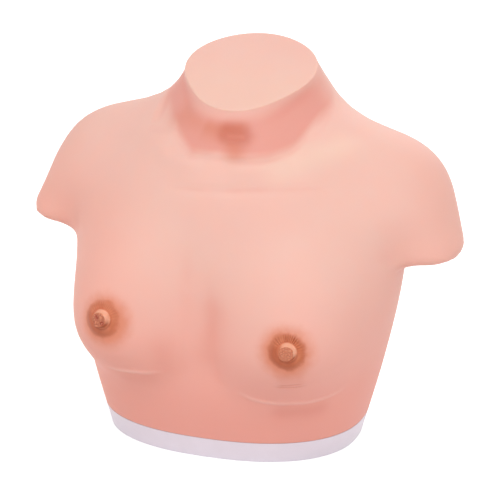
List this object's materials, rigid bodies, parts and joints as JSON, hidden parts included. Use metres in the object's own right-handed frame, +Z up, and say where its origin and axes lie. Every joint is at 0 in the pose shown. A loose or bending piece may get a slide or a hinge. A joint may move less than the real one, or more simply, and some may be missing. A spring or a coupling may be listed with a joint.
{
  "type": "breast examination model",
  "caption": "Soft moulded upper torso on a white base, with hidden lumps in the breasts, for teaching examination by touch.",
  "frame": {"origin": "centre of the base's underside, on the table", "axes": "+Z up, -Y out of the chest, +X towards the torso's own left"},
  "size_m": [0.4074, 0.2484, 0.35],
  "materials": {
    "skin": "soft matte vinyl skin with brown-pink nipples",
    "base": "white satin plastic",
    "lump": "firm rubber"
  },
  "bodies": {
    "root": {"torso": "skin", "base_plate": "base", "left_firm_lump": "lump", "left_cyst_lump": "lump", "right_hard_lump": "lump", "right_small_lump": "lump", "right_soft_lump": "lump"}
  },
  "joints": []
}
